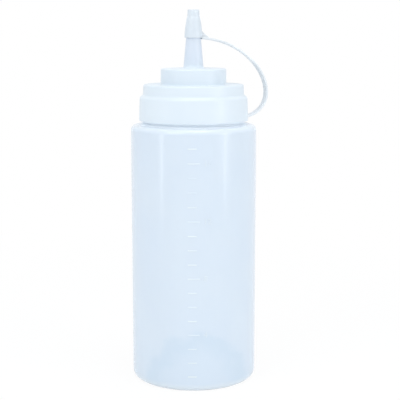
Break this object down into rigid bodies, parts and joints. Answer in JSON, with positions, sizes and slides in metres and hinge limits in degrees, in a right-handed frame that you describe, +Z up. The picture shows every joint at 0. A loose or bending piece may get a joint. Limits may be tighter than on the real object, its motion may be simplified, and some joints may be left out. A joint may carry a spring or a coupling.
{
  "type": "sauce bottle",
  "caption": "Squeeze bottle for sauces with a raised volume scale, a screw cap with a pouring nozzle, and a tip cap that hangs on a bending strap.",
  "frame": {"origin": "middle of the base, on the surface that the bottle stands on", "axes": "+Z up along the bottle, +X towards the strap's loop, the scale looks to the front, -Y and a little -X"},
  "size_m": [0.0785, 0.07, 0.2074],
  "materials": {
    "bottle_plastic": "milky see-through soft plastic, satin",
    "cap_plastic": "milky soft plastic, satin",
    "seal_rubber": "pale soft rubber"
  },
  "bodies": {
    "bottle": {"bottle": "bottle_plastic"},
    "sealing_ring": {"sealing_ring": "seal_rubber"},
    "screw_cap": {"screw_cap": "cap_plastic"},
    "strap_arm": {"strap_arm": "cap_plastic"},
    "strap_link_1": {"strap_link_1": "cap_plastic"},
    "strap_link_2": {"strap_link_2": "cap_plastic"},
    "strap_link_3": {"strap_link_3": "cap_plastic"},
    "tip_cap": {"tip_cap": "cap_plastic"}
  },
  "joints": [
    {"name": "cap_lift", "type": "slide", "parent": "bottle", "child": "sealing_ring", "axis": [0, 0, 1], "range_m": [0, 0.017]},
    {"name": "cap_turn", "type": "hinge", "parent": "sealing_ring", "child": "screw_cap", "pos_m": [0, 0, 0.158], "axis": [0, 0, 1], "range_deg": [0, 1440]},
    {"name": "strap_root_bend", "type": "hinge", "parent": "screw_cap", "child": "strap_arm", "pos_m": [0.03388, 0, 0.14884], "axis": [0, 1, 0], "range_deg": [-29.1, 0]},
    {"name": "strap_bend_1", "type": "hinge", "parent": "strap_arm", "child": "strap_link_1", "pos_m": [0.02834, 0, 0.18419], "axis": [0, 1, 0], "range_deg": [0, 41.7]},
    {"name": "strap_bend_2", "type": "hinge", "parent": "strap_link_1", "child": "strap_link_2", "pos_m": [0.02425, 0, 0.18661], "axis": [0, 1, 0], "range_deg": [0, 34.6]},
    {"name": "strap_bend_3", "type": "hinge", "parent": "strap_link_2", "child": "strap_link_3", "pos_m": [0.01971, 0, 0.18866], "axis": [0, 1, 0], "range_deg": [0, 43]},
    {"name": "tip_cap_open", "type": "hinge", "parent": "strap_link_3", "child": "tip_cap", "pos_m": [0.01474, 0, 0.19027], "axis": [0, 1, 0], "range_deg": [0, 42]}
  ],
  "couplings": [
    {"joint": "cap_lift", "follows": "cap_turn", "m_per_rad": 0.00067322},
    {"joint": "strap_root_bend", "follows": "tip_cap_open", "ratio": -0.67},
    {"joint": "strap_bend_1", "follows": "tip_cap_open", "ratio": 0.97},
    {"joint": "strap_bend_2", "follows": "tip_cap_open", "ratio": 0.8},
    {"joint": "strap_bend_3", "follows": "tip_cap_open", "ratio": 1}
  ]
}
